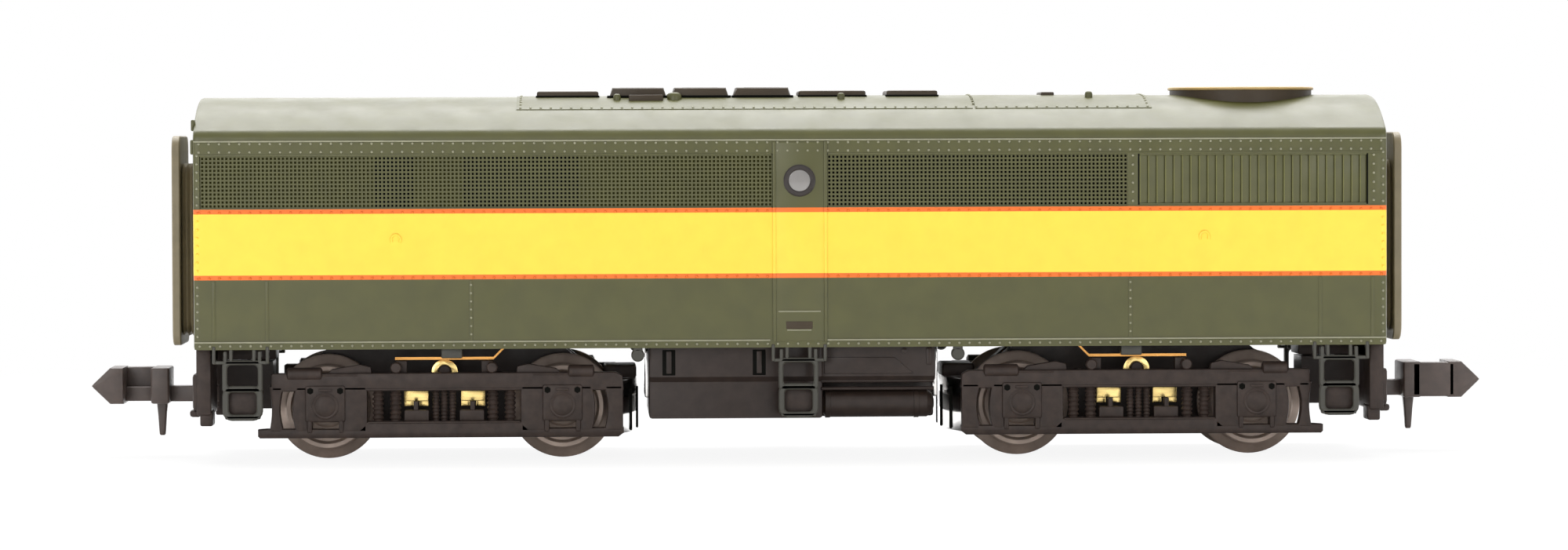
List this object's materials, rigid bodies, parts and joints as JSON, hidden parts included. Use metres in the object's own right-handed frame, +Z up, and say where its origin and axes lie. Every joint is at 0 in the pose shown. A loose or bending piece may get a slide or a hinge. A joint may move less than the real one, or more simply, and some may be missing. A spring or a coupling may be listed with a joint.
{
  "type": "model diesel locomotive",
  "caption": "Model railway diesel booster unit for narrow scale track: painted body shell over a geared chassis, two swivelling powered trucks and a hook coupler at each end.",
  "frame": {"origin": "middle of the locomotive at the level where the wheel flanges stand", "axes": "+X along the track to the end with the roof fan, +Y across the track, +Z up"},
  "size_m": [0.1064, 0.0202, 0.0283],
  "materials": {
    "olive_paint": "satin painted moulding with a yellow band and orange edge lines",
    "black_plastic": "moulded black, low gloss",
    "lens": "clear",
    "zinc": null,
    "steel": "bright",
    "wheel_metal": "blackened",
    "brass": "bright",
    "copper": "phosphor bronze strip",
    "nylon": "natural nylon",
    "carbon": "carbon"
  },
  "bodies": {
    "chassis": {"body_shell": "olive_paint", "porthole_near": "lens", "porthole_far": "lens", "roof_fan": "black_plastic", "diaphragm_left": "olive_paint", "diaphragm_right": "olive_paint", "chassis_near": "zinc", "chassis_far": "zinc", "chassis_screw_left": "steel", "chassis_screw_right": "steel", "motor_can": "steel", "brush_near": "carbon", "brush_far": "carbon", "bearing_inner_left": "nylon", "bearing_outer_left": "nylon", "bearing_inner_right": "nylon", "bearing_outer_right": "nylon", "fuel_tank": "black_plastic"},
    "drive_line": {"armature": "steel", "flywheel_left": "brass", "flywheel_right": "brass", "worm_shaft_left": "steel", "worm_shaft_right": "steel"},
    "truck_left": {"truck_case_left": "black_plastic", "truck_frame_left": "black_plastic", "pickup_strip_left_near": "brass", "wiper_left_near": "copper", "pickup_strip_left_far": "brass", "wiper_left_far": "copper"},
    "worm_gear_left": {"worm_gear_left": "nylon"},
    "idler_left_a": {"idler_gear_left_a": "nylon"},
    "wheelset_left_a": {"axle_gear_left_a": "nylon", "wheel_left_a_near": "wheel_metal", "wheel_left_a_far": "wheel_metal"},
    "idler_left_b": {"idler_gear_left_b": "nylon"},
    "wheelset_left_b": {"axle_gear_left_b": "nylon", "wheel_left_b_near": "wheel_metal", "wheel_left_b_far": "wheel_metal"},
    "coupler_left": {"coupler_box_left": "black_plastic", "coupler_spring_left": "steel"},
    "hook_left": {"coupler_hook_left": "black_plastic"},
    "truck_right": {"truck_case_right": "black_plastic", "truck_frame_right": "black_plastic", "pickup_strip_right_near": "brass", "wiper_right_near": "copper", "pickup_strip_right_far": "brass", "wiper_right_far": "copper"},
    "worm_gear_right": {"worm_gear_right": "nylon"},
    "idler_right_a": {"idler_gear_right_a": "nylon"},
    "wheelset_right_a": {"axle_gear_right_a": "nylon", "wheel_right_a_near": "wheel_metal", "wheel_right_a_far": "wheel_metal"},
    "idler_right_b": {"idler_gear_right_b": "nylon"},
    "wheelset_right_b": {"axle_gear_right_b": "nylon", "wheel_right_b_near": "wheel_metal", "wheel_right_b_far": "wheel_metal"},
    "coupler_right": {"coupler_box_right": "black_plastic", "coupler_spring_right": "steel"},
    "hook_right": {"coupler_hook_right": "black_plastic"}
  },
  "joints": [
    {"name": "motor_spin", "type": "hinge", "parent": "chassis", "child": "drive_line", "pos_m": [0, 0, 0.015], "axis": [1, 0, 0], "continuous": true},
    {"name": "truck_swivel_left", "type": "hinge", "parent": "chassis", "child": "truck_left", "pos_m": [-0.0262, 0, 0.00875], "axis": [0, 0, 1], "range_deg": [-7, 7]},
    {"name": "worm_gear_spin_left", "type": "hinge", "parent": "truck_left", "child": "worm_gear_left", "pos_m": [-0.0262, 0, 0.01025], "axis": [0, 1, 0], "continuous": true},
    {"name": "idler_spin_left_a", "type": "hinge", "parent": "truck_left", "child": "idler_left_a", "pos_m": [-0.03022, 0, 0.0058], "axis": [0, 1, 0], "continuous": true},
    {"name": "axle_spin_left_a", "type": "hinge", "parent": "truck_left", "child": "wheelset_left_a", "pos_m": [-0.03509, 0, 0.00397], "axis": [0, 1, 0], "continuous": true},
    {"name": "idler_spin_left_b", "type": "hinge", "parent": "truck_left", "child": "idler_left_b", "pos_m": [-0.02218, 0, 0.0058], "axis": [0, 1, 0], "continuous": true},
    {"name": "axle_spin_left_b", "type": "hinge", "parent": "truck_left", "child": "wheelset_left_b", "pos_m": [-0.01731, 0, 0.00397], "axis": [0, 1, 0], "continuous": true},
    {"name": "coupler_swing_left", "type": "hinge", "parent": "chassis", "child": "coupler_left", "pos_m": [-0.0403, 0, 0.0055], "axis": [0, 0, 1], "range_deg": [-12, 12]},
    {"name": "coupler_lift_left", "type": "hinge", "parent": "coupler_left", "child": "hook_left", "pos_m": [-0.0419, 0, 0.0048], "axis": [0, 1, 0], "range_deg": [0, 10], "stiffness_Nm_per_rad": 0.0002, "springref_deg": -5.73, "deforming": ["coupler_spring_left"]},
    {"name": "truck_swivel_right", "type": "hinge", "parent": "chassis", "child": "truck_right", "pos_m": [0.0262, 0, 0.00875], "axis": [0, 0, 1], "range_deg": [-7, 7]},
    {"name": "worm_gear_spin_right", "type": "hinge", "parent": "truck_right", "child": "worm_gear_right", "pos_m": [0.0262, 0, 0.01025], "axis": [0, 1, 0], "continuous": true},
    {"name": "idler_spin_right_a", "type": "hinge", "parent": "truck_right", "child": "idler_right_a", "pos_m": [0.02218, 0, 0.0058], "axis": [0, 1, 0], "continuous": true},
    {"name": "axle_spin_right_a", "type": "hinge", "parent": "truck_right", "child": "wheelset_right_a", "pos_m": [0.01731, 0, 0.00397], "axis": [0, 1, 0], "continuous": true},
    {"name": "idler_spin_right_b", "type": "hinge", "parent": "truck_right", "child": "idler_right_b", "pos_m": [0.03022, 0, 0.0058], "axis": [0, 1, 0], "continuous": true},
    {"name": "axle_spin_right_b", "type": "hinge", "parent": "truck_right", "child": "wheelset_right_b", "pos_m": [0.03509, 0, 0.00397], "axis": [0, 1, 0], "continuous": true},
    {"name": "coupler_swing_right", "type": "hinge", "parent": "chassis", "child": "coupler_right", "pos_m": [0.0403, 0, 0.0055], "axis": [0, 0, 1], "range_deg": [-12, 12]},
    {"name": "coupler_lift_right", "type": "hinge", "parent": "coupler_right", "child": "hook_right", "pos_m": [0.0419, 0, 0.0048], "axis": [0, -1, 0], "range_deg": [0, 10], "stiffness_Nm_per_rad": 0.0002, "springref_deg": -5.73, "deforming": ["coupler_spring_right"]}
  ],
  "couplings": [
    {"joint": "worm_gear_spin_left", "follows": "motor_spin", "ratio": -0.0625},
    {"joint": "idler_spin_left_a", "follows": "motor_spin", "ratio": 0.071429},
    {"joint": "axle_spin_left_a", "follows": "motor_spin", "ratio": -0.083333},
    {"joint": "idler_spin_left_b", "follows": "motor_spin", "ratio": 0.071429},
    {"joint": "axle_spin_left_b", "follows": "motor_spin", "ratio": -0.083333},
    {"joint": "worm_gear_spin_right", "follows": "motor_spin", "ratio": -0.0625},
    {"joint": "idler_spin_right_a", "follows": "motor_spin", "ratio": 0.071429},
    {"joint": "axle_spin_right_a", "follows": "motor_spin", "ratio": -0.083333},
    {"joint": "idler_spin_right_b", "follows": "motor_spin", "ratio": 0.071429},
    {"joint": "axle_spin_right_b", "follows": "motor_spin", "ratio": -0.083333}
  ]
}
